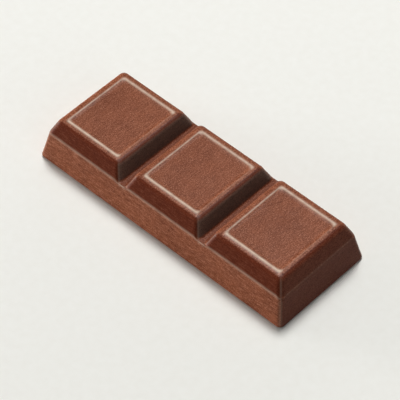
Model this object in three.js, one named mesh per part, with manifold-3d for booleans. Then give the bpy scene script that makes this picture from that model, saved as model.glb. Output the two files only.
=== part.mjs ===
import * as THREE from 'three';
import Module from 'manifold-3d';

// A stick of milk chocolate, moulded in one piece. A bar with leaning walls carries three raised
// blocks in a row, and a V groove between two blocks is where the stick is broken. Each block has
// steep sides, a rounded shoulder and a shallow sunk panel on top, inside a gently sloping rim.
// Millimetres. The origin is the middle of the flat underside, +X runs along the stick, +Z is up.

// The bar
const LENGTH = 67.4;
const WIDTH = 25.4;
const HEIGHT = 10.5;
const RIDGE_HEIGHT = 7.2;
const GROOVE_FLOOR_HEIGHT = 7;
const UNDERSIDE_EDGE_RADIUS = 0.4;
const UNDERSIDE_CORNER_RADIUS = 1.1;

// The blocks, measured where their sides meet the ridge
const BLOCK_COUNT = 3;
const BLOCK_PITCH = 22;
const BLOCK_LENGTH = 20.6;
const BLOCK_WIDTH = 22.6;

// The side of a block: how far the crest stands in from the ridge, and the roundings between them.
// The rim is the flattest of these curves, and the shoulder takes over where the rim's turn ends.
const SIDE_RUN = 2.9;
const RIM_RADIUS = 4.6;
const RIM_TURN = Math.PI / 15;
const SHOULDER_RADIUS = 1;
const FOOT_FILLET_RADIUS = 0.45;

// The sunk panel inside the crest: a tight lip, then a wide hollow curve down to the panel's floor
const LIP_RADIUS = 0.9;
const LIP_TURN = Math.PI / 12;
const PANEL_EDGE_RADIUS = 3.6;
const PANEL_CORNER_RADIUS = 0.7;
const CORNER_RADIUS_GROWTH = 0.25;

// How finely the round stretches are stepped, and how far solids reach past what trims them
const CORNER_STEPS = 3;
const PROFILE_STEPS = 3;
const TRIM_REACH = 1;
const FILLET_BITE = 0.02;

const PANEL_LENGTH = BLOCK_LENGTH - 2 * SIDE_RUN;
const PANEL_WIDTH = BLOCK_WIDTH - 2 * SIDE_RUN;
const RIDGE_LENGTH = (BLOCK_COUNT - 1) * BLOCK_PITCH + BLOCK_LENGTH;
const WALL_HEIGHT = RIDGE_HEIGHT - UNDERSIDE_EDGE_RADIUS;
const END_LEAN = (LENGTH - RIDGE_LENGTH) / 2 / WALL_HEIGHT;
const SIDE_LEAN = (WIDTH - BLOCK_WIDTH) / 2 / WALL_HEIGHT;

const wasm = await Module();
wasm.setup();

// One level of a solid: a rectangle with round corners, anticlockwise seen from above.
function levelOutline({ halfLength, halfWidth, radius, z }) {
  const x = halfLength - radius;
  const y = halfWidth - radius;
  const quarter = Math.PI / 2;
  const outline = new THREE.Path();
  outline.absarc(x, y, radius, 0, quarter);
  outline.absarc(-x, y, radius, quarter, 2 * quarter);
  outline.absarc(-x, -y, radius, 2 * quarter, 3 * quarter);
  outline.absarc(x, -y, radius, 3 * quarter, 4 * quarter);
  outline.closePath();
  return outline.getPoints(CORNER_STEPS).slice(0, -1).map((p) => new THREE.Vector3(p.x, p.y, z));
}

// A closed solid through a stack of levels, with a flat cap on the first and the last.
function loftLevels(levels) {
  const rings = levels.map(levelOutline);
  const size = rings[0].length;
  const triangles = [];
  for (let ring = 0; ring < rings.length - 1; ring += 1) {
    for (let k = 0; k < size; k += 1) {
      const next = (k + 1) % size;
      const lower = ring * size;
      const upper = lower + size;
      triangles.push([lower + k, lower + next, upper + next]);
      triangles.push([lower + k, upper + next, upper + k]);
    }
  }
  const last = (rings.length - 1) * size;
  const underCap = THREE.ShapeUtils.triangulateShape(rings[0], []);
  const topCap = THREE.ShapeUtils.triangulateShape(rings[rings.length - 1], []);
  underCap.forEach(([a, b, c]) => triangles.push([a, c, b]));
  topCap.forEach(([a, b, c]) => triangles.push([last + a, last + b, last + c]));

  const geometry = new THREE.BufferGeometry();
  geometry.setFromPoints(rings.flat());
  geometry.setIndex(triangles.flat());
  return geometry;
}

// The leaning outer walls, which start from a rounded edge at the underside. They reach past the
// blocks, so that they trim everything that stands on the bar.
function wallLevels() {
  const edge = new THREE.Path();
  edge.absarc(-UNDERSIDE_EDGE_RADIUS, UNDERSIDE_EDGE_RADIUS, UNDERSIDE_EDGE_RADIUS, -Math.PI / 2, 0);
  const levels = edge.getPoints(PROFILE_STEPS).map(({ x: inset, y: z }) => ({
    halfLength: LENGTH / 2 + inset,
    halfWidth: WIDTH / 2 + inset,
    radius: UNDERSIDE_CORNER_RADIUS + inset,
    z,
  }));
  const top = HEIGHT + TRIM_REACH;
  const rise = top - UNDERSIDE_EDGE_RADIUS;
  levels.push({
    halfLength: LENGTH / 2 - END_LEAN * rise,
    halfWidth: WIDTH / 2 - SIDE_LEAN * rise,
    radius: UNDERSIDE_CORNER_RADIUS,
    z: top,
  });
  return levels;
}

// The section of a block from its foot to its panel. x is the distance outside the crest, the
// highest line of the block, and y the height. A fillet rises from the groove floor, the straight
// side leans in, the shoulder rolls over, and the rim climbs on gently to the crest.
function blockSection() {
  const rimNormal = new THREE.Vector2(Math.sin(RIM_TURN), Math.cos(RIM_TURN));
  const rimCentre = new THREE.Vector2(0, HEIGHT - RIM_RADIUS);
  const shoulderCentre = rimCentre.clone().addScaledVector(rimNormal, RIM_RADIUS - SHOULDER_RADIUS);
  const ridge = new THREE.Vector2(SIDE_RUN, RIDGE_HEIGHT);
  const toRidge = ridge.clone().sub(shoulderCentre);
  const tangentAngle = toRidge.angle() - 2 * Math.PI + Math.acos(SHOULDER_RADIUS / toRidge.length());
  const outward = new THREE.Vector2(Math.cos(tangentAngle), Math.sin(tangentAngle));
  const down = new THREE.Vector2(outward.y, -outward.x);

  const filletBottom = GROOVE_FLOOR_HEIGHT - FILLET_BITE;
  const centreHeight = filletBottom + FOOT_FILLET_RADIUS;
  const offSide = ridge.clone().addScaledVector(outward, FOOT_FILLET_RADIUS);
  const slide = (centreHeight - offSide.y) / down.y;
  const filletCentre = offSide.addScaledVector(down, slide);

  const section = new THREE.Path();
  section.moveTo(filletCentre.x, RIDGE_HEIGHT - TRIM_REACH);
  const up = Math.PI / 2;
  section.absarc(filletCentre.x, filletCentre.y, FOOT_FILLET_RADIUS, -up, tangentAngle - Math.PI, true);
  section.absarc(shoulderCentre.x, shoulderCentre.y, SHOULDER_RADIUS, tangentAngle, up - RIM_TURN);
  section.absarc(rimCentre.x, rimCentre.y, RIM_RADIUS, up - RIM_TURN, up);
  section.absarc(0, HEIGHT - LIP_RADIUS, LIP_RADIUS, up, up + LIP_TURN);

  // The hollow curve starts at the slope that the lip ends with and runs out level.
  const reach = LIP_RADIUS + PANEL_EDGE_RADIUS;
  const hollowX = -reach * Math.sin(LIP_TURN);
  const hollowZ = HEIGHT - LIP_RADIUS + reach * Math.cos(LIP_TURN);
  section.absarc(hollowX, hollowZ, PANEL_EDGE_RADIUS, LIP_TURN - up, -up, true);
  return section.getPoints(PROFILE_STEPS);
}

// A block stands at its own middle. Its corners are tightest at the panel's edge.
function blockLevels() {
  return blockSection().map(({ x: offset, y: z }) => ({
    halfLength: PANEL_LENGTH / 2 + offset,
    halfWidth: PANEL_WIDTH / 2 + offset,
    radius: PANEL_CORNER_RADIUS + CORNER_RADIUS_GROWTH * Math.abs(offset),
    z,
  }));
}

// The body of the bar below the groove floor, wider than the walls that trim it.
function floorSlab() {
  const thickness = GROOVE_FLOOR_HEIGHT + TRIM_REACH;
  const slab = new THREE.BoxGeometry(LENGTH + 2 * TRIM_REACH, WIDTH + 2 * TRIM_REACH, thickness);
  slab.translate(0, 0, GROOVE_FLOOR_HEIGHT - thickness / 2);
  return slab;
}

function toSolid(geometry) {
  const triVerts = new Uint32Array(geometry.index.array);
  const vertProperties = new Float32Array(geometry.attributes.position.array);
  const mesh = new wasm.Mesh({ numProp: 3, vertProperties, triVerts });
  mesh.merge();
  return new wasm.Manifold(mesh);
}

function toGeometry(solid) {
  const { vertProperties, triVerts } = solid.getMesh();
  const geometry = new THREE.BufferGeometry();
  geometry.setAttribute('position', new THREE.BufferAttribute(vertProperties, 3));
  geometry.setIndex(new THREE.BufferAttribute(triVerts, 1));
  geometry.computeVertexNormals();
  return geometry;
}

// The whole stick: the slab with its row of blocks, trimmed by the leaning walls.
function chocolateStick() {
  let moulded = toSolid(floorSlab());
  for (let k = 0; k < BLOCK_COUNT; k += 1) {
    const block = loftLevels(blockLevels());
    block.translate((k - (BLOCK_COUNT - 1) / 2) * BLOCK_PITCH, 0, 0);
    moulded = moulded.add(toSolid(block));
  }
  const trimmed = moulded.intersect(toSolid(loftLevels(wallLevels())));
  const milkChocolate = new THREE.MeshStandardMaterial({ color: 0x7d4c3a, roughness: 0.42, metalness: 0 });
  const stick = new THREE.Mesh(toGeometry(trimmed), milkChocolate);
  stick.name = 'chocolate_stick';
  return stick;
}

const part = new THREE.Group();
part.name = 'part';
part.add(chocolateStick());

export default part;
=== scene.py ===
"""A stick of milk chocolate on pale paper, seen from above one corner in soft studio light.

The stick is moulded in one piece: a bar with leaning walls carries three raised blocks in a row, each
with a rounded shoulder round a shallow sunk panel, and a V groove between two blocks is where it is
snapped. Lengths are in metres and +X runs along the stick.
"""

import logging
import math
from dataclasses import dataclass
from enum import Enum

import bpy
import numpy as np
from mathutils import Matrix, Vector


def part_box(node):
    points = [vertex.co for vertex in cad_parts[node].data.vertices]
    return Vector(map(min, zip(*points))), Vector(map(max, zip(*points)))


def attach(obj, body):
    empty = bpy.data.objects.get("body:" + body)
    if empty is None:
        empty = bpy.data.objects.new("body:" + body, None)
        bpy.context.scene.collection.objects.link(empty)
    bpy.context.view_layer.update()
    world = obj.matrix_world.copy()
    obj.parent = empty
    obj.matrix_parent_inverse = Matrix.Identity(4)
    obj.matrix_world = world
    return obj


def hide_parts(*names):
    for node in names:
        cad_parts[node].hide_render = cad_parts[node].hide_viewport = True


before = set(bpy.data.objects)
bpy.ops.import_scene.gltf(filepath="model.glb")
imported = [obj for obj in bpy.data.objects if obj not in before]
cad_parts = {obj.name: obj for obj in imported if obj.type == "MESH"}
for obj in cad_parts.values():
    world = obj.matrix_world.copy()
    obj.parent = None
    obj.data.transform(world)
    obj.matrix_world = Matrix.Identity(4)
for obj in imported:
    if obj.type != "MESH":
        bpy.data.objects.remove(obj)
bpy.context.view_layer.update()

NODE = "chocolate_stick"
BODY = "root"
MM = 0.001

log = logging.getLogger("chocolate_stick")

Array = np.ndarray
Socket = bpy.types.NodeSocket
Colour = tuple[float, float, float, float]
Span = tuple[float, float]
Stops = list[tuple[float, int]]

FULL: Span = (0.0, 1.0)

# Random values that soft noise runs through before it repeats, and what keeps its places above zero
NOISE_CELLS = 64
NOISE_SHIFT = 1000.0

# Places of the colour sockets on a mixing node
MIX_UNDER, MIX_OVER, MIX_RESULT = 6, 7, 2


class Surface(Enum):
    """Which part of the mould a face comes from, as the value stored on the mesh."""

    MOULDED = 0.0
    POURED = 1.0


class Mark(Enum):
    """Values that are stored on the mesh for the finish to read."""

    # Pale lines of worn crests and edges, painted as highlights
    EDGE_WEAR_HIGHLIGHT = "edge_wear"
    # Painted light: the lighter tone; where it is low the darker painted shade shows
    PAINTED_LIGHT = "dullness"
    POLISH = "polish"
    # Painted shade: a neutral dark tone on the sides that face away from the lamps
    SIDE_SHADE = "dust"
    POURED = "poured"


class Direction(Enum):
    """Which way a streak in the chocolate runs, as the number of its axis."""

    ALONG = 0
    ACROSS = 1


def smooth_larger(a: Array, b: Array, reach: float) -> Array:
    """The larger of two heights, the inner corner rounded where they differ by less than the reach."""
    overlap = np.clip(reach - np.abs(a - b), 0.0, None)
    return np.maximum(a, b) + overlap**2 / (4 * reach)


def smooth_smaller(a: Array, b: Array, reach: float) -> Array:
    """The smaller of two heights, the outer edge rounded in the same way."""
    return -smooth_larger(-a, -b, reach)


def bell(distance: Array, width: float | Array) -> Array:
    """A soft bump that is 1 at no distance and fades to nothing over about twice the width."""
    return np.exp(-((distance / width) ** 2))


def ramp(values: Array, span: Span) -> Array:
    """Goes evenly from 0 to 1 as the values go from the start of a span to its end."""
    return np.clip((values - span[0]) / (span[1] - span[0]), 0.0, 1.0)


def between(span: Span, amount: Array) -> Array:
    """Goes evenly from the start of a span to its end as the amount goes from 0 to 1."""
    return span[0] + (span[1] - span[0]) * amount


def lines_through(stops: Stops) -> Array:
    """Spaces grid lines between named places.

    Args:
        stops: Each place with the number of steps that lead up to it. The first has none.

    Returns:
        The places of all lines, in order.
    """
    lines = [np.array([stops[0][0]])]
    for (start, _), (end, steps) in zip(stops, stops[1:]):
        lines.append(np.linspace(start, end, steps + 1)[1:])
    return np.concatenate(lines)


def soft_noise(points: Array, grain: float, seed: int) -> Array:
    """Smooth random values between 0 and 1 through space.

    Args:
        points: Places to read, one row each.
        grain: Distance between neighbouring random values.
        seed: Which of the random fields to read.

    Returns:
        One value for each place.
    """
    lattice = np.random.default_rng(seed).random((NOISE_CELLS,) * 3)
    scaled = points / grain + NOISE_SHIFT
    cell = np.floor(scaled).astype(int)
    part = scaled - cell
    part = part * part * (3 - 2 * part)
    total = np.zeros(len(points))
    for corner in np.ndindex(2, 2, 2):
        index = (cell + np.array(corner)) % NOISE_CELLS
        weight = np.where(np.array(corner) == 1, part, 1 - part).prod(axis=1)
        total += weight * lattice[index[:, 0], index[:, 1], index[:, 2]]
    return total


@dataclass(frozen=True)
class StickForm:
    """The true form of the mould. Overall sizes come from the solid that the stick stands for.

    Attributes:
        length: Along the stick, at the foot of its walls.
        width: Across the stick, at the foot of its walls.
        height: From the underside to the crests of the blocks.
        ridge_height: Where the walls meet the blocks, whose length and width are measured there.
        side_run: How far a crest stands in from the ridge.
        rim_radius: Curve of the rim outside the crest, which turns rim_turn.
        shoulder: Curve from the rim to the steep side.
        lip_radius: Curve of the lip inside the crest, which turns lip_turn.
        panel_edge: Hollow curve from the lip to the panel's floor.
        panel_corner: Rounding of the crest's corners, which grows away from it by corner_growth.
        foot_reach: Difference in height at which the foot of a side starts to round.
        ridge_reach: The same where the walls trim the blocks.
    """

    length: float
    width: float
    height: float
    ridge_height: float = 7.2 * MM
    groove_floor: float = 7.0 * MM
    underside_edge: float = 0.4 * MM
    wall_corner: float = 1.1 * MM
    blocks: int = 3
    pitch: float = 22 * MM
    block_length: float = 20.6 * MM
    block_width: float = 22.6 * MM
    side_run: float = 2.9 * MM
    rim_radius: float = 4.6 * MM
    rim_turn: float = math.pi / 15
    shoulder: float = 1.0 * MM
    lip_radius: float = 0.9 * MM
    lip_turn: float = math.pi / 12
    panel_edge: float = 3.6 * MM
    panel_corner: float = 0.7 * MM
    corner_growth: float = 0.25
    foot_reach: float = 0.34 * MM
    ridge_reach: float = 0.42 * MM

    @property
    def panel_length(self) -> float:
        """Length of a panel, between the crests of its frame."""
        return self.block_length - 2 * self.side_run

    @property
    def panel_width(self) -> float:
        """Width of a panel, between the crests of its frame."""
        return self.block_width - 2 * self.side_run

    @property
    def last_centre(self) -> float:
        """Middle of the last block, as far from the middle of the stick as that of the first."""
        return (self.blocks - 1) / 2 * self.pitch

    @property
    def end_lean(self) -> float:
        """How far an end wall leans in for each metre of height."""
        ridge_length = (self.blocks - 1) * self.pitch + self.block_length
        return (self.length - ridge_length) / 2 / (self.ridge_height - self.underside_edge)

    @property
    def side_lean(self) -> float:
        """How far a long wall leans in for each metre of height."""
        return (self.width - self.block_width) / 2 / (self.ridge_height - self.underside_edge)

    @property
    def shoulder_centre(self) -> tuple[float, float]:
        """Centre of the shoulder's curve: its distance outside the crest, and its height."""
        offset, lowered = self.rim_radius - self.shoulder, self.height - self.rim_radius
        return offset * math.sin(self.rim_turn), lowered + offset * math.cos(self.rim_turn)

    @property
    def side_angle(self) -> float:
        """Slope of a block's side from the level, tangent to its shoulder and through the ridge."""
        out, up = self.side_run - self.shoulder_centre[0], self.ridge_height - self.shoulder_centre[1]
        return math.atan2(out, up) - math.acos(self.shoulder / math.hypot(out, up))

    @property
    def panel_slope(self) -> float:
        """How far inside the crest a panel's floor starts."""
        return (self.lip_radius + self.panel_edge) * math.sin(self.lip_turn)

    def outside_panel(self, u: Array, v: Array) -> Array:
        """Distance outside the crest of a block's panel, negative inside it, with round corners.

        Args:
            u: Distance outside the panel's nearer end.
            v: Distance outside the panel's nearer side.

        Returns:
            The distance, which keeps the corners of each level as round as the mould has them.
        """
        distance = np.maximum(u, v)
        for sign in (1.0, -1.0):
            growth = self.corner_growth * sign
            shrink = 1 - growth
            a = u + self.panel_corner
            b = v + self.panel_corner
            first = 2 * shrink**2 - growth**2
            second = 2 * shrink * (a + b) + 2 * growth * self.panel_corner
            third = a**2 + b**2 - self.panel_corner**2
            root = np.sqrt(np.clip(second**2 - 4 * first * third, 0.0, None))
            rounded = (second - root) / (2 * first)
            radius = self.panel_corner + growth * rounded
            in_corner = (np.minimum(u, v) > rounded - radius) & (rounded * sign >= 0)
            distance = np.where(in_corner, rounded, distance)
        return distance

    def block_profile(self, distance: Array) -> Array:
        """Height of a block at a distance outside its panel's crest.

        Args:
            distance: Distance outside the crest, negative over the panel.

        Returns:
            The height of the surface.
        """
        out, up = self.shoulder_centre
        rim_end = self.rim_radius * math.sin(self.rim_turn)
        shoulder_end = out + self.shoulder * math.sin(self.side_angle)
        lip_end = self.lip_radius * math.sin(self.lip_turn)
        sink = (self.lip_radius + self.panel_edge) * (1 - math.cos(self.lip_turn))

        def over(radius: float, reach: Array) -> Array:
            """How far an arc of a radius has turned down at a level reach from its crown."""
            return radius - np.sqrt(radius**2 - np.clip(reach, 0.0, radius) ** 2)

        side = self.ridge_height + (self.side_run - distance) * math.tan(self.side_angle)
        shoulder = up + self.shoulder - over(self.shoulder, distance - out)
        rim = self.height - over(self.rim_radius, distance)
        lip = self.height - over(self.lip_radius, -distance)
        hollow = self.height - sink + over(self.panel_edge, self.panel_slope + distance)
        return np.select(
            [distance > shoulder_end, distance > rim_end, distance > 0, distance > -lip_end],
            [side, shoulder, rim, lip],
            hollow,
        )

    def nearest_centre(self, x: Array) -> Array:
        """Middle of the block that each place along the stick belongs to."""
        number = np.clip(np.round(x / self.pitch + (self.blocks - 1) / 2), 0, self.blocks - 1)
        return (number - (self.blocks - 1) / 2) * self.pitch

    def nearest_block(self, x: Array, y: Array) -> tuple[Array, Array]:
        """How far places lie outside the panel of the nearest block, past its end and its side."""
        along = np.abs(x - self.nearest_centre(x))
        return along - self.panel_length / 2, np.abs(y) - self.panel_width / 2

    def wall_height(self, x: Array, y: Array) -> Array:
        """Height at which the leaning outer walls pass over a place in the plan.

        Args:
            x: Places along the stick.
            y: Places across the stick.

        Returns:
            The height of the wall's surface.
        """
        end, side = self.end_lean, self.side_lean
        rise = np.minimum((self.length / 2 - np.abs(x)) / end, (self.width / 2 - np.abs(y)) / side)
        a = np.abs(x) - self.length / 2 + self.wall_corner
        b = np.abs(y) - self.width / 2 + self.wall_corner
        lean = end**2 + side**2
        half = a * end + b * side
        root = np.sqrt(np.clip(half**2 - lean * (a**2 + b**2 - self.wall_corner**2), 0.0, None))
        rounded = (root - half) / lean
        in_corner = (a + end * rounded > 0) & (b + side * rounded > 0)
        return self.underside_edge + np.where(in_corner, rounded, rise)

    def moulded_height(self, x: Array, y: Array) -> Array:
        """Height of the blocks and groove floors, before the walls trim them."""
        block = self.block_profile(self.outside_panel(*self.nearest_block(x, y)))
        return smooth_larger(block, np.full_like(block, self.groove_floor), self.foot_reach)

    def top_height(self, x: Array, y: Array) -> Array:
        """Height of the finished surface seen from above."""
        return smooth_smaller(self.moulded_height(x, y), self.wall_height(x, y), self.ridge_reach)

    def wall_level(self, z: float) -> tuple[float, float, float]:
        """Outline of the walls at a height.

        Args:
            z: The height.

        Returns:
            Half the length, half the width and the corner's radius.
        """
        if z >= self.underside_edge:
            rise = z - self.underside_edge
            half_length = self.length / 2 - self.end_lean * rise
            return half_length, self.width / 2 - self.side_lean * rise, self.wall_corner
        inset = self.underside_edge - math.sqrt(self.underside_edge**2 - (self.underside_edge - z) ** 2)
        return self.length / 2 - inset, self.width / 2 - inset, self.wall_corner - inset


@dataclass
class Handling:
    """Wear, painted highlight lines and painted light and shade at places on the stick, each from 0 to 1.

    Two sides of every block face the lamps, those towards +Y and -X, and their shoulders take the
    lighter painted tone. The other two face away; their shoulders keep the darker painted shade, and
    the short one takes a neutral painted shade. The crests along the stick carry the strongest pale
    lines, worn and painted as highlights.

    A span of lengths says where a mark starts and where it is full, or how wide it is on crests
    across the stick and along it. A span of shares says how strong it is on a side facing away from
    the lamps and on one facing them.

    Attributes:
        form: The form that the places lie on.
        x: Places along the stick.
        y: Places across the stick.
        corner_turn: Where a block's corner goes over from a short side to a long one.
        lit_side_turn: How soon a side counts as facing the lamps, from the middle of the block.
        crest_turn: How far round a corner the pale line of a crest along the stick reaches.
        ridge_wear_highlight: Pale wear and painted highlight of a long wall's ridge, at a groove and
            along a block.
        shade_place: Middle of the painted shade in a panel, as shares of its length and width.
    """

    form: StickForm
    x: Array
    y: Array
    corner_turn: Span = (-0.4 * MM, 0.4 * MM)
    wall_turn: Span = (-0.75 * MM, 0.75 * MM)
    lit_side_turn: Span = (0.0, 1.0 * MM)
    crest_turn: Span = (-1.02 * MM, 0.18 * MM)
    crest_along: Span = (0.84, 0.66)
    crest_across: Span = (0.12, 0.48)
    crest_inset: float = 0.1 * MM
    crest_width: Span = (0.18 * MM, 0.3 * MM)
    upright_reach: Span = (0.9 * MM, 1.7 * MM)
    upright_width: float = 0.26 * MM
    upright_wear_highlight: float = 0.13
    ridge_width: float = 0.28 * MM
    ridge_wear_highlight: Span = (0.45, 0.2)
    end_ridge_wear_highlight: float = 0.04
    corner_width: float = 0.5 * MM
    corner_wear_highlight: float = 0.12
    polish_offset: float = 0.2 * MM
    polish_width: float = 0.6 * MM
    polish_share: Span = (0.1, 1.0)
    panel_reach: Span = (0.7 * MM, 1.05 * MM)
    panel_fade: Span = (0.0, -0.35 * MM)
    shoulder_fade: Span = (2.0 * MM, 1.4 * MM)
    shoulder_painted_light: float = 0.9
    # Painted shade in each panel, centred off its middle towards -X and +Y
    shade_place: Span = (-0.18, 0.1)
    shade_size: float = 0.28
    panel_shading: float = 0.16
    floor_fade: Span = (0.5 * MM, 0.1 * MM)
    floor_painted_light: float = 0.5
    wall_fade: Span = (-0.1 * MM, 0.15 * MM)
    end_painted_light: float = 0.8
    side_shade_top: Span = (1.0 * MM, 1.5 * MM)
    side_shade_foot: Span = (0.15 * MM, 0.45 * MM)
    side_shade_wall: Span = (-0.2 * MM, 0.0)
    end_side_shade: float = 0.25

    def __post_init__(self) -> None:
        """Works out where the places lie on their blocks and on the outer walls."""
        form, x, y = self.form, self.x, self.y
        u, v = form.nearest_block(x, y)
        height = form.moulded_height(x, y)
        self.corner = v - u
        self.outside = form.outside_panel(u, v)
        self.above_floor = height - form.groove_floor
        self.above_walls = height - form.wall_height(x, y)
        self.past_centre = x - form.nearest_centre(x)
        self.lengthways = ramp(self.corner, self.corner_turn)
        # Sides facing the lamps, towards +Y and -X; the painted light and shade follow them
        long_side, short_side = ramp(y, self.lit_side_turn), ramp(-self.past_centre, self.lit_side_turn)
        self.lit_side = self.lengthways * long_side + (1 - self.lengthways) * short_side
        to_end = (form.length / 2 - np.abs(x)) / form.end_lean
        to_side = (form.width / 2 - np.abs(y)) / form.side_lean
        self.long_wall = ramp(to_end - to_side, self.wall_turn)

    def edge_wear(self) -> Array:
        """Worn crests, upright edges of the blocks and the ridge, painted pale as highlight lines.

        Returns:
            The wear at each place.
        """
        turn = ramp(self.corner, self.crest_turn)
        crest = turn * between(self.crest_along, self.lit_side)
        crest += (1 - turn) * between(self.crest_across, self.lit_side)
        crest *= bell(self.outside + self.crest_inset, between(self.crest_width, turn))
        upright = self.upright_wear_highlight * bell(self.corner, self.upright_width)
        upright *= ramp(self.outside, self.upright_reach)
        ridge = self.end_ridge_wear_highlight + between(self.ridge_wear_highlight, self.lengthways) * self.long_wall
        ridge *= bell(self.above_walls, self.ridge_width)
        return np.maximum(np.maximum(crest, upright), ridge)

    def polish(self) -> Array:
        """Where handling has polished both slopes of a crest, least on a short side facing away from the
        lamps.
        """
        share = between(self.polish_share, 1 - (1 - self.lengthways) * (1 - self.lit_side))
        return bell(self.outside - self.polish_offset, self.polish_width) * share

    def dullness(self) -> Array:
        """Painted light: the lighter, bloomed tone on panels, rims, shoulders facing the lamps and outer
        walls.

        Where it is low the darker painted shade shows. Each panel takes some painted shade off its middle,
        towards -X and +Y, and the floor of a groove is half in painted shade.

        Returns:
            The painted light at each place, none on the sides facing away from the lamps and the +X end.
        """
        along = self.past_centre / self.form.panel_length - self.shade_place[0]
        across = self.y / self.form.panel_width - self.shade_place[1]
        panel_shade = self.panel_shading * bell(np.hypot(along, across), self.shade_size)
        reach = between(self.panel_reach, self.lengthways)
        panel = ramp(self.outside - reach, self.panel_fade) * (1 - panel_shade)
        shoulder = self.shoulder_painted_light * self.lit_side * ramp(self.outside, self.shoulder_fade)
        floor = self.floor_painted_light * ramp(self.above_floor, self.floor_fade)
        wall = ramp(self.above_walls, self.wall_fade)
        top = np.maximum(np.maximum(panel, shoulder), floor)
        return np.maximum(top * (1 - wall), self.wall_painted_light() * wall)

    def wall_painted_light(self) -> Array:
        """Painted light on the outer walls: full on the long ones, nearly so on the -X end, none on the +X
        end.
        """
        return np.maximum(self.long_wall, self.end_painted_light * (self.x < 0))

    def dust(self) -> Array:
        """Neutral painted shade on the side of each groove that faces away from the lamps, and a little on
        the +X end.

        Returns:
            The painted shade at each place.
        """
        last_crest = self.form.last_centre + self.form.panel_length / 2
        side = np.where(np.abs(self.x) < last_crest, 1.0, self.end_side_shade)
        side *= (1 - self.lengthways) * (1 - self.lit_side)
        side *= ramp(self.outside, self.side_shade_top) * ramp(self.above_floor, self.side_shade_foot)
        wall = ramp(self.above_walls, self.side_shade_wall)
        return side * (1 - wall) + self.wall_side_shade() * wall

    def wall_side_shade(self) -> Array:
        """Neutral painted shade on the outer walls: a little on the +X end and nowhere else."""
        return self.end_side_shade * (1 - self.long_wall) * (self.x > 0)

    def wall_wear_highlight(self, half_length: float, half_width: float, radius: float) -> Array:
        """Wear of the outer walls, pale at their upright corners and nowhere else, painted as a highlight
        line.

        Args:
            half_length: Half the length of the walls at the places' height.
            half_width: Half their width there.
            radius: Radius of their corners there.

        Returns:
            The pale wear and painted highlight at each place and straight below it.
        """
        past_end = np.abs(self.x) - half_length + radius
        past_side = np.abs(self.y) - half_width + radius
        in_corner = (past_end > 0) & (past_side > 0)
        return self.corner_wear_highlight * bell(past_end - past_side, self.corner_width) * in_corner


@dataclass(frozen=True)
class Grain:
    """How coarse some unevenness is, and how many finer layers lie over it."""

    size: float
    detail: float


@dataclass(frozen=True)
class Relief:
    """Unevenness that catches the light: its depth, and how much shows untouched and polished."""

    grain: Grain
    depth: float
    strength: Span


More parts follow.
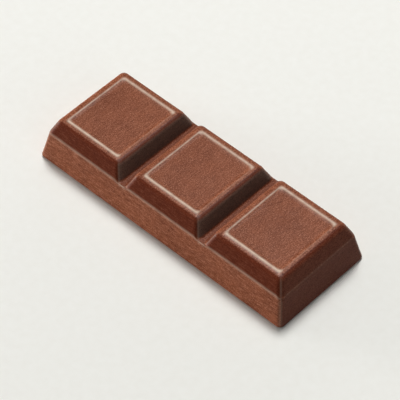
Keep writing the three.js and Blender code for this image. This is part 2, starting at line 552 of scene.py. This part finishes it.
@dataclass(frozen=True)
class MilkChocolate:
    """Milk chocolate as it comes from the mould: satin and faintly streaked, with painted light and
    shade, and pale worn crests painted as highlight lines.

    A range says between which values of its noise something shows. A share says how much of it there
    is at the two ends of the noise, of the painted light, or of the turn from a wall to a level face.

    Attributes:
        body: Colour of the lighter faces, where light is painted, with its bloom.
        deep: Colour of the darker clouds on them.
        painted_shade: Darker tone painted as shade on the sides of the blocks and on shoulders facing away
            from the lamps.
        bloom: Colour of the pale grain of cocoa butter.
        worn_highlight: Cream of worn crests and edges, painted as highlight lines.
        side_shade_colour: Neutral dark painted as shade on the groove sides that face away from the lamps.
        streak_shade: What a dark streak takes the colour under it down to, as a share of it.
        turned_up: How far a face turns sideways as a wall, and as a level face.
        roughness: Where the mould touched, and where the chocolate was poured.
        sheen: Sheen of the faces and of the polished crests.
        squeeze: Width of a streak over its length.
    """

    body: Colour = (0.256, 0.079, 0.037, 1.0)
    deep: Colour = (0.110, 0.026, 0.011, 1.0)
    # Painted shade: the darker tone of faces in shade, such as the sides of the blocks
    painted_shade: Colour = (0.103, 0.0185, 0.0068, 1.0)
    bloom: Colour = (0.420, 0.175, 0.105, 1.0)
    # Painted highlight: cream of the pale lines on worn crests and edges
    worn_highlight: Colour = (0.750, 0.600, 0.470, 1.0)
    # Painted shade: neutral dark of the sides that face away from the lamps
    side_shade_colour: Colour = (0.111, 0.062, 0.046, 1.0)
    streak_shade: Colour = (0.440, 0.370, 0.370, 1.0)
    painted_shade_share: Span = (0.95, 0.0)
    clouds: Grain = Grain(5.0 * MM, 3.0)
    cloud_range: Span = (0.35, 0.7)
    cloud_share: Span = (0.0, 0.4)
    turned_up: Span = (0.75, 0.4)
    streaks: Grain = Grain(0.25 * MM, 4.0)
    squeeze: float = 0.16
    streak_share: Span = (0.55, 0.3)
    grain: Grain = Grain(0.24 * MM, 3.0)
    grain_share: Span = (0.55, 0.85)
    pale_range: Span = (0.5, 0.72)
    pale_share: Span = (0.2, 1.0)
    dark_range: Span = (0.5, 0.3)
    dark_share: Span = (0.7, 1.0)
    highlight_rub: Grain = Grain(1.2 * MM, 1.0)
    highlight_rub_range: Span = (0.25, 0.6)
    highlight_rub_share: Span = (0.7, 1.0)
    roughness: Span = (0.38, 0.55)
    smudges: Grain = Grain(2.2 * MM, 4.0)
    smudge_range: Span = (0.3, 0.7)
    smudge_share: Span = (-0.05, 0.07)
    specular: float = 0.04
    sheen: Span = (0.02, 0.1)
    sheen_roughness: float = 0.2
    waves: Relief = Relief(Grain(1.6 * MM, 2.0), 0.05 * MM, (0.35, 0.1))
    pores: Relief = Relief(Grain(0.22 * MM, 5.0), 0.012 * MM, (0.3, 0.05))

    def make(self) -> bpy.types.Material:
        """Builds the node material.

        Returns:
            The finished material.
        """
        nodes = NodeSheet("milk_chocolate_satin")
        polish = nodes.attribute(Mark.POLISH)
        return nodes.finish({
            "Base Color": self.highlighted_colour(nodes),
            "Roughness": self.satin(nodes),
            "Normal": self.fine_relief(nodes, polish),
            "Coat Weight": nodes.remap(polish, FULL, self.sheen),
            "Coat Roughness": self.sheen_roughness,
            "Specular IOR Level": self.specular,
        })

    def highlighted_colour(self, nodes: "NodeSheet") -> Socket:
        """Paints pale highlight lines where crests and edges are worn, a little brokenly.

        Args:
            nodes: The sheet to add nodes to.

        Returns:
            The finished colour.
        """
        # Painted highlight lines on worn crests and edges, broken up by noise
        broken = nodes.remap(nodes.noise(self.highlight_rub, nodes.place), self.highlight_rub_range, self.highlight_rub_share)
        highlight_rub = nodes.multiply(nodes.attribute(Mark.EDGE_WEAR_HIGHLIGHT), broken)
        return nodes.mix(highlight_rub, self.streaked_colour(nodes), self.worn_highlight)

    def streaked_colour(self, nodes: "NodeSheet") -> Socket:
        """Mixes the clouds, the painted light and shade, the streaks of the pour and the grain.

        Args:
            nodes: The sheet to add nodes to.

        Returns:
            The colour before wear.
        """
        clouds = nodes.remap(nodes.noise(self.clouds, nodes.place), self.cloud_range, self.cloud_share)
        dullness = nodes.attribute(Mark.PAINTED_LIGHT)
        colour = nodes.mix(clouds, self.body, self.deep)
        # Darker painted shade where the painted light is low
        colour = nodes.mix(nodes.remap(dullness, FULL, self.painted_shade_share), colour, self.painted_shade)
        # Neutral painted shade on the sides facing away from the lamps
        colour = nodes.mix(nodes.attribute(Mark.SIDE_SHADE), colour, self.side_shade_colour)
        upwards = nodes.remap(nodes.facing_sideways(), self.turned_up, FULL)
        streak = nodes.blend(
            upwards,
            nodes.streaks(self.streaks, Direction.ALONG, self.squeeze),
            nodes.streaks(self.streaks, Direction.ACROSS, self.squeeze),
        )
        grain = nodes.noise(self.grain, nodes.place)
        streaky = nodes.remap(upwards, FULL, self.streak_share)
        grainy = nodes.remap(upwards, FULL, self.grain_share)
        both = ((streaky, streak), (grainy, grain))

        def speckle(reach: Span, share: Span) -> Socket:
            """How far streaks and grain show on one side of their middle value."""
            shown = [nodes.multiply(strength, nodes.remap(noise, reach, FULL)) for strength, noise in both]
            return nodes.multiply(nodes.add(*shown), nodes.remap(dullness, FULL, share))

        colour = nodes.mix(speckle(self.pale_range, self.pale_share), colour, self.bloom)
        return nodes.darken(speckle(self.dark_range, self.dark_share), colour, self.streak_shade)

    def satin(self, nodes: "NodeSheet") -> Socket:
        """Roughness: satin where the mould touched, dull where the chocolate was poured."""
        smudges = nodes.remap(nodes.noise(self.smudges, nodes.place), self.smudge_range, self.smudge_share)
        return nodes.add(nodes.remap(nodes.attribute(Mark.POURED), FULL, self.roughness), smudges)

    def fine_relief(self, nodes: "NodeSheet", polish: Socket) -> Socket:
        """Tilts the surface by its slow waves and its pores, both worn smooth by handling.

        Args:
            nodes: The sheet to add nodes to.
            polish: How far handling has polished the surface.

        Returns:
            The tilted normal.
        """
        normal = None
        for relief in (self.waves, self.pores):
            height = nodes.noise(relief.grain, nodes.place)
            normal = nodes.bump(height, nodes.remap(polish, FULL, relief.strength), relief.depth, normal)
        return normal


@dataclass(frozen=True)
class DrawingPaper:
    """Smooth white paper with a faint warm tint and a fine tooth.

    Attributes:
        tint: Colour of the sheet.
        shade: Colour between the fibres.
    """

    tint: Colour = (0.868, 0.866, 0.822, 1.0)
    shade: Colour = (0.848, 0.843, 0.795, 1.0)
    fibres: Grain = Grain(1.8 * MM, 5.0)
    fibre_range: Span = (0.3, 0.7)
    tooth_depth: float = 0.05 * MM
    tooth_strength: float = 0.15
    roughness: float = 0.85
    specular: float = 0.2

    def make(self) -> bpy.types.Material:
        """Builds the node material.

        Returns:
            The finished material.
        """
        nodes = NodeSheet("drawing_paper")
        fibres = nodes.noise(self.fibres, nodes.place)
        return nodes.finish({
            "Base Color": nodes.mix(nodes.remap(fibres, self.fibre_range, FULL), self.tint, self.shade),
            "Normal": nodes.bump(fibres, self.tooth_strength, self.tooth_depth, None),
            "Roughness": self.roughness,
            "Specular IOR Level": self.specular,
        })


class NodeSheet:
    """The nodes of one new material, with a short method for each kind that it needs."""

    def __init__(self, name: str) -> None:
        """Starts the material.

        Args:
            name: Its name.
        """
        self.material = bpy.data.materials.new(name)
        self.material.use_nodes = True
        self.tree = self.material.node_tree
        self.place = self.add_node("ShaderNodeTexCoord").outputs["Object"]

    def finish(self, looks: dict[str, Socket | float]) -> bpy.types.Material:
        """Feeds the surface shader.

        Args:
            looks: What goes into each of its inputs, by name.

        Returns:
            The finished material.
        """
        shader = next(node for node in self.tree.nodes if node.type == "BSDF_PRINCIPLED")
        for name, value in looks.items():
            self.feed(value, shader.inputs[name])
        return self.material

    def feed(self, value: Socket | Colour | float, target: Socket) -> None:
        """Links an output to an input, or sets the input to a plain value.

        Args:
            value: The output or the value.
            target: The input.
        """
        if isinstance(value, Socket):
            self.tree.links.new(value, target)
        else:
            target.default_value = value

    def add_node(self, kind: str, **values: Socket | Colour | float | str) -> bpy.types.Node:
        """Adds a node.

        Args:
            kind: The kind of node.
            values: What goes into its inputs, and its settings, by name.

        Returns:
            The new node.
        """
        node = self.tree.nodes.new(kind)
        for name, value in values.items():
            if name in node.inputs:
                self.feed(value, node.inputs[name])
            else:
                setattr(node, name, value)
        return node

    def attribute(self, mark: Mark) -> Socket:
        """A value stored on the mesh."""
        return self.add_node("ShaderNodeAttribute", attribute_name=mark.value).outputs["Fac"]

    def facing_sideways(self) -> Socket:
        """How far the surface faces one of the stick's long sides, from 0 to 1."""
        normal = self.add_node("ShaderNodeNewGeometry").outputs["Normal"]
        return self.arithmetic("ABSOLUTE", self.add_node("ShaderNodeSeparateXYZ", Vector=normal).outputs["Y"])

    def noise(self, grain: Grain, place: Socket) -> Socket:
        """Cloudy noise from 0 to 1, read at a place."""
        sizes = {"Scale": 1 / grain.size, "Detail": grain.detail}
        return self.add_node("ShaderNodeTexNoise", Vector=place, **sizes).outputs["Fac"]

    def streaks(self, grain: Grain, way: Direction, squeeze: float) -> Socket:
        """Noise from 0 to 1, drawn out into streaks along one axis.

        Args:
            grain: Width of a streak, and its detail.
            way: Which way the streaks run.
            squeeze: Width of a streak over its length.

        Returns:
            The streaks.
        """
        scale = [1.0, 1.0, 1.0]
        scale[way.value] = squeeze
        drawn = self.add_node("ShaderNodeMapping", Vector=self.place, Scale=scale)
        return self.noise(grain, drawn.outputs["Vector"])

    def remap(self, value: Socket, source: Span, target: Span) -> Socket:
        """Stretches one span of values over another and holds it at the ends."""
        ends = {"From Min": source[0], "From Max": source[1], "To Min": target[0], "To Max": target[1]}
        return self.add_node("ShaderNodeMapRange", Value=value, **ends).outputs["Result"]

    def arithmetic(self, operation: str, *values: Socket) -> Socket:
        """Joins values by an operation.

        Args:
            operation: The operation.
            values: One or two values.

        Returns:
            The result.
        """
        node = self.add_node("ShaderNodeMath", operation=operation)
        for value, target in zip(values, node.inputs):
            self.feed(value, target)
        return node.outputs[0]

    def add(self, a: Socket, b: Socket) -> Socket:
        """Adds two values."""
        return self.arithmetic("ADD", a, b)

    def multiply(self, a: Socket, b: Socket) -> Socket:
        """Multiplies two values."""
        return self.arithmetic("MULTIPLY", a, b)

    def blend(self, amount: Socket, a: Socket, b: Socket) -> Socket:
        """Goes from one value to another by an amount."""
        return self.add_node("ShaderNodeMix", Factor=amount, A=a, B=b).outputs["Result"]

    def mix(self, amount: Socket, under: Socket | Colour, over: Colour) -> Socket:
        """Lays one colour over another by an amount."""
        return self.lay("MIX", amount, under, over)

    def darken(self, amount: Socket, under: Socket, share: Colour) -> Socket:
        """Takes a colour down to a share of itself by an amount."""
        return self.lay("MULTIPLY", amount, under, share)

    def lay(self, way: str, amount: Socket, under: Socket | Colour, over: Colour) -> Socket:
        """Lays one colour over another.

        Args:
            way: How the upper colour acts on the lower.
            amount: How much of the upper colour there is.
            under: The lower colour.
            over: The upper colour.

        Returns:
            The mixed colour.
        """
        node = self.add_node("ShaderNodeMix", data_type="RGBA", blend_type=way, Factor=amount)
        self.feed(under, node.inputs[MIX_UNDER])
        self.feed(over, node.inputs[MIX_OVER])
        return node.outputs[MIX_RESULT]

    def bump(self, height: Socket, strength: Socket | float, depth: float, normal: Socket | None) -> Socket:
        """Tilts the surface by a height.

        Args:
            height: The height, from 0 to 1.
            strength: How much of the effect shows.
            depth: How deep a height of 1 is.
            normal: A surface that is already tilted, to build on.

        Returns:
            The tilted normal.
        """
        node = self.add_node("ShaderNodeBump", Height=height, Strength=strength, Distance=depth)
        if normal is not None:
            self.feed(normal, node.inputs["Normal"])
        return node.outputs["Normal"]


@dataclass
class MouldedStick:
    """The stick itself: one mesh that follows the mould closely and is slightly uneven all over.

    Attributes:
        form: The true form to follow.
        finish: What it is dressed in.
        skirt_height: Height on the walls where the plan's grid ends and the wall's rings start.
        margin: How far before a turn of the surface its closer grid lines start.
        shoulder_reach: How far outside the crest the close grid lines end.
        panel_steps: Grid steps over half a panel; the other steps follow it outwards.
        unevenness: Greatest depth of the slow waves that a real casting shows.
        wave_length: Size of those waves.
        fine_share: Share of the depth that goes to finer waves.
        fineness: How many times shorter the finer waves are.
    """

    form: StickForm
    finish: MilkChocolate
    skirt_height: float = 6.4 * MM
    margin: float = 0.3 * MM
    ridge_margin: float = 0.02 * MM
    shoulder_reach: float = 1.7 * MM
    panel_steps: int = 18
    hollow_steps: int = 10
    crest_steps: int = 22
    side_steps: int = 7
    ridge_steps: int = 5
    skirt_steps: int = 7
    groove_steps: int = 8
    wall_rings: int = 20
    edge_rings: int = 5
    unevenness: float = 0.035 * MM
    wave_length: float = 4.5 * MM
    fine_share: float = 0.25
    fineness: int = 3
    seed: int = 7

    def block_stops(self, half_panel: float) -> Stops:
        """Grid lines of half a block, from its middle to the foot of its side."""
        return [
            (0.0, 0),
            (half_panel - self.form.panel_slope - self.margin, self.panel_steps),
            (half_panel - self.margin, self.hollow_steps),
            (half_panel + self.shoulder_reach, self.crest_steps),
            (half_panel + self.form.side_run - self.margin, self.side_steps),
        ]

    def skirt_stops(self, half_panel: float, half_skirt: float) -> Stops:
        """Grid lines of the outer half of a block, from its middle over the ridge to the skirt."""
        ridge = half_panel + self.form.side_run - self.ridge_margin
        return self.block_stops(half_panel) + [(ridge, self.ridge_steps), (half_skirt, self.skirt_steps)]

    def plan_lines(self) -> tuple[Array, Array]:
        """Grid lines of the plan, close together where the surface turns.

        Returns:
            The lines along the stick and the lines across it.
        """
        form = self.form
        half_length, half_width, _ = form.wall_level(self.skirt_height)
        last = form.last_centre
        outer = lines_through(self.skirt_stops(form.panel_length / 2, half_length - last))
        to_groove = [(form.pitch / 2, self.groove_steps)]
        inner = lines_through(self.block_stops(form.panel_length / 2) + to_groove)
        lines = [-last - outer[::-1]]
        for middle in np.arange(1, form.blocks) * form.pitch - last:
            lines += [middle - form.pitch + inner[1:], (middle - inner[::-1])[1:]]
        lines.append(last + outer[1:])
        half = lines_through(self.skirt_stops(form.panel_width / 2, half_width))
        return np.concatenate(lines), np.concatenate([-half[::-1], half[1:]])

    def plan_points(self, x_lines: Array, y_lines: Array) -> tuple[Array, Array]:
        """Crosses the grid lines and pulls the outer corners round to the skirt's outline.

        Args:
            x_lines: Lines along the stick.
            y_lines: Lines across the stick.

        Returns:
            The two plan coordinates of every grid point.
        """
        x, y = np.meshgrid(x_lines, y_lines, indexing="ij")
        half_length, half_width, radius = self.form.wall_level(self.skirt_height)
        a = np.clip((np.abs(x) - half_length + radius) / radius, 0.0, 1.0)
        b = np.clip((np.abs(y) - half_width + radius) / radius, 0.0, 1.0)
        in_corner = (a > 0) & (b > 0)
        round_x = np.sign(x) * (half_length - radius + radius * a * np.sqrt(1 - b**2 / 2))
        round_y = np.sign(y) * (half_width - radius + radius * b * np.sqrt(1 - a**2 / 2))
        return np.where(in_corner, round_x, x), np.where(in_corner, round_y, y)

    def ring_at(self, skirt: Array, z: float) -> Array:
        """Slides the skirt's outline down the walls to a height.

        Args:
            skirt: Points of the skirt's outline.
            z: The height.

        Returns:
            The same points on the walls at that height.
        """
        half_length, half_width, radius = self.form.wall_level(self.skirt_height)
        new_length, new_width, new_radius = self.form.wall_level(z)
        reach = np.array([half_length, half_width]) - radius
        new_reach = np.array([new_length, new_width]) - new_radius
        core = np.clip(skirt[:, :2], -reach, reach)
        moved = core / reach * new_reach + (skirt[:, :2] - core) / radius * new_radius
        return np.column_stack([moved, np.full(len(skirt), z)])

    def wall_heights(self) -> list[float]:
        """Heights of the rings, down the walls and round the underside's edge to the paper.

        Returns:
            The heights, from the top down.
        """
        edge = self.form.underside_edge
        quarter = np.linspace(0.0, math.pi / 2, self.edge_rings + 1)[1:]
        down_the_wall = np.linspace(self.skirt_height, edge, self.wall_rings + 1)[1:]
        return np.clip(np.append(down_the_wall, edge * (1 - np.sin(quarter))), 0.0, None).tolist()

    def uneven(self, points: Array) -> Array:
        """Depth of the slow waves, always inwards from the mould's own surface.

        Args:
            points: Points of the surface.

        Returns:
            The depth at each of them.
        """
        coarse = soft_noise(points, self.wave_length, self.seed)
        fine = soft_noise(points, self.wave_length / self.fineness, self.seed + 1)
        return self.unevenness * ((1 - self.fine_share) * coarse + self.fine_share * fine)

    def build(self) -> bpy.types.Object:
        """Makes the mesh.

        Returns:
            The stick's object, not yet dressed.
        """
        x, y = self.plan_points(*self.plan_lines())
        top = np.column_stack([x.ravel(), y.ravel(), self.form.top_height(x, y).ravel()])
        index = np.arange(x.size).reshape(x.shape)
        cells = np.stack([index[:-1, :-1], index[1:, :-1], index[1:, 1:], index[:-1, 1:]], axis=-1)
        faces = [cells.reshape(-1, 4)]

        order = np.concatenate([index[:-1, 0], index[-1, :-1], index[:0:-1, -1], index[0, :0:-1]])
        skirt = top[order]
        rings = [self.ring_at(skirt, z) for z in self.wall_heights()]
        above = order
        for k in range(len(rings)):
            below = len(top) + k * len(order) + np.arange(len(order))
            faces.append(np.column_stack([above, below, np.roll(below, -1), np.roll(above, -1)]))
            above = below

        walls = np.concatenate(rings)
        top[:, 2] -= self.uneven(top)
        drawn_in = 1 - self.uneven(walls) / (self.form.width / 2)
        drawn_in[-len(order) :] = 1.0
        walls[:, :2] *= drawn_in[:, None]
        stick = self.make_object(np.concatenate([top, walls]), faces, above[::-1])
        self.mark(stick, top, walls, skirt)
        return stick

    def mark(self, stick: bpy.types.Object, top: Array, walls: Array, skirt: Array) -> None:
        """Keeps one value of each mark for each point of the mesh, for the finish to read.

        Args:
            stick: The object with the mesh.
            top: Points seen from above.
            walls: Points on the walls, ring by ring.
            skirt: Points of the skirt's outline.
        """
        above, beside, upper = (Handling(self.form, part[:, 0], part[:, 1]) for part in (top, walls, skirt))
        corners = upper.wall_wear_highlight(*self.form.wall_level(self.skirt_height))
        # Worn and painted highlight lines, painted light and shade, polish, and neutral painted shade
        marks = {
            Mark.EDGE_WEAR_HIGHLIGHT: (above.edge_wear(), np.tile(corners, len(walls) // len(skirt))),
            Mark.PAINTED_LIGHT: (above.dullness(), beside.wall_painted_light()),
            Mark.POLISH: (above.polish(), np.zeros(len(walls))),
            Mark.SIDE_SHADE: (above.dust(), beside.wall_side_shade()),
        }
        for mark, values in marks.items():
            stored = stick.data.attributes.new(mark.value, "FLOAT", "POINT")
            stored.data.foreach_set("value", np.concatenate(values))

    def make_object(self, points: Array, quads: list[Array], underside: Array) -> bpy.types.Object:
        """Makes an object from points and faces, and marks the poured face.

        Args:
            points: All points of the mesh.
            quads: Four-sided faces, in groups.
            underside: The ring of points round the flat underside.

        Returns:
            The new object, linked to the scene.
        """
        faces = np.concatenate(quads).tolist() + [underside.tolist()]
        mesh = bpy.data.meshes.new("chocolate_stick_moulded")
        mesh.from_pydata(points.tolist(), [], faces)
        mesh.shade_smooth()
        mesh.polygons[-1].use_smooth = False
        poured = np.full(len(faces), Surface.MOULDED.value)
        poured[-1] = Surface.POURED.value
        mesh.attributes.new(Mark.POURED.value, "FLOAT", "FACE").data.foreach_set("value", poured)
        stick = bpy.data.objects.new("moulded_stick", mesh)
        bpy.context.scene.collection.objects.link(stick)
        return stick

    def dress(self, stick: bpy.types.Object) -> None:
        """Gives the stick its finish and ties it to the solid that it stands for.

        Args:
            stick: The stick's object.
        """
        stick.data.materials.append(self.finish.make())
        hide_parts(NODE)
        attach(stick, BODY)


@dataclass
class PaperSheet:
    """The wide pale sheet that the stick lies on.

    Attributes:
        finish: What it is dressed in.
        size: Length of each side.
    """

    finish: DrawingPaper
    size: float = 6.0

    def build(self) -> bpy.types.Object:
        """Makes the sheet, its face at the height of the stick's underside.

        Returns:
            The sheet's object.
        """
        half = self.size / 2
        corners = [(-half, -half, 0.0), (half, -half, 0.0), (half, half, 0.0), (-half, half, 0.0)]
        mesh = bpy.data.meshes.new("paper_sheet")
        mesh.from_pydata(corners, [], [(0, 1, 2, 3)])
        sheet = bpy.data.objects.new("paper_sheet", mesh)
        bpy.context.scene.collection.objects.link(sheet)
        mesh.materials.append(self.finish.make())
        return sheet


@dataclass(frozen=True)
class Softbox:
    """One studio lamp that faces the stick.

    Attributes:
        name: What it does.
        towards: Direction from the stick to the lamp.
        size: Length and height of its face.
        power: Its output in watts.
        distance: How far away it stands.
    """

    name: str
    towards: tuple[float, float, float]
    size: tuple[float, float]
    power: float
    distance: float = 1.2

    def build(self) -> bpy.types.Object:
        """Hangs the lamp.

        Returns:
            The lamp's object.
        """
        data = bpy.data.lights.new(self.name, "AREA")
        data.shape = "RECTANGLE"
        data.size, data.size_y = self.size
        data.energy = self.power
        lamp = bpy.data.objects.new(self.name, data)
        direction = Vector(self.towards).normalized()
        turn = direction.to_track_quat("Z", "Y").to_matrix().to_4x4()
        lamp.matrix_world = Matrix.Translation(direction * self.distance) @ turn
        bpy.context.scene.collection.objects.link(lamp)
        return lamp


@dataclass(frozen=True)
class Studio:
    """The lamps and the even light of the room.

    Attributes:
        room_light: Colour of the light from all round.
        room_strength: How strong that light is.
    """

    room_light: Colour = (1.0, 0.995, 0.985, 1.0)
    room_strength: float = 0.16
    lamps: tuple[Softbox, ...] = (
        Softbox("high_key", (-0.27, 0.35, 0.90), (0.34, 0.34), 11.4),
        Softbox("crest_glint", (-0.44, 0.22, 0.87), (0.32, 0.16), 0.8),
        Softbox("low_side_fill", (-0.92, -0.38, 0.04), (0.5, 0.09), 17.5),
        Softbox("right_fill", (0.85, -0.20, 0.48), (0.5, 0.5), 0.9),
        Softbox("back_rim", (-0.45, 0.85, 0.22), (0.6, 0.25), 0.9),
    )

    def build(self) -> list[bpy.types.Object]:
        """Lights the scene.

        Returns:
            The lamps' objects.
        """
        world = bpy.data.worlds.new("room")
        world.use_nodes = True
        background = world.node_tree.nodes["Background"]
        background.inputs["Color"].default_value = self.room_light
        background.inputs["Strength"].default_value = self.room_strength
        bpy.context.scene.world = world
        bpy.context.scene.view_settings.view_transform = "Standard"
        return [lamp.build() for lamp in self.lamps]


@dataclass(frozen=True)
class Viewpoint:
    """Where the stick is seen from.

    Attributes:
        azimuth: Turn round the stick; at 0 the camera looks along +Y.
        elevation: Height above the horizon.
        roll: Turn about the line of sight.
        distance: From the camera to the point that it looks at.
        target: The point in the middle of the picture.
        lens: Focal length in millimetres.
        sensor: Width of the film that the focal length goes with, in millimetres.
        clip: Nearest and farthest distance that is seen.
    """

    azimuth: float = math.radians(42.63)
    elevation: float = math.radians(49.43)
    roll: float = math.radians(0.424)
    distance: float = 468.4 * MM
    target: tuple[float, float, float] = (2.12 * MM, -2.02 * MM, 5.0 * MM)
    lens: float = 207.7
    sensor: float = 36.0
    clip: Span = (0.01, 50.0)

    def build(self) -> bpy.types.Object:
        """Sets up the camera and makes it the scene's own.

        Returns:
            The camera's object.
        """
        data = bpy.data.cameras.new("viewpoint")
        data.lens = self.lens
        data.sensor_width = self.sensor
        data.clip_start, data.clip_end = self.clip
        camera = bpy.data.objects.new("viewpoint", data)
        turn = Matrix.Rotation(self.azimuth, 4, "Z") @ Matrix.Rotation(math.pi / 2 - self.elevation, 4, "X")
        turn = turn @ Matrix.Rotation(self.roll, 4, "Z")
        back = turn @ Vector((0.0, 0.0, self.distance))
        camera.matrix_world = Matrix.Translation(Vector(self.target) + back) @ turn
        bpy.context.scene.collection.objects.link(camera)
        bpy.context.scene.camera = camera
        return camera


def stick_form() -> StickForm:
    """Reads the overall sizes from the solid that the stick stands for.

    Returns:
        The form at those sizes.
    """
    low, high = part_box(NODE)
    length, width, height = high - low
    return StickForm(length, width, height)


def main() -> None:
    """Builds the stick, what it lies on, the light and the camera, and reports each piece."""
    logging.basicConfig(level=logging.INFO, format="%(name)s: %(message)s")
    moulded = MouldedStick(stick_form(), MilkChocolate())
    stick = moulded.build()
    moulded.dress(stick)
    log.info("%s: %d points, %d faces", stick.name, len(stick.data.vertices), len(stick.data.polygons))
    sheet = PaperSheet(DrawingPaper()).build()
    log.info("%s: stage", sheet.name)
    lamps = Studio().build()
    log.info("lamps: %s", ", ".join(lamp.name for lamp in lamps))
    camera = Viewpoint().build()
    log.info("%s: lens %.0f mm", camera.name, camera.data.lens)


if __name__ == "__main__":
    main()
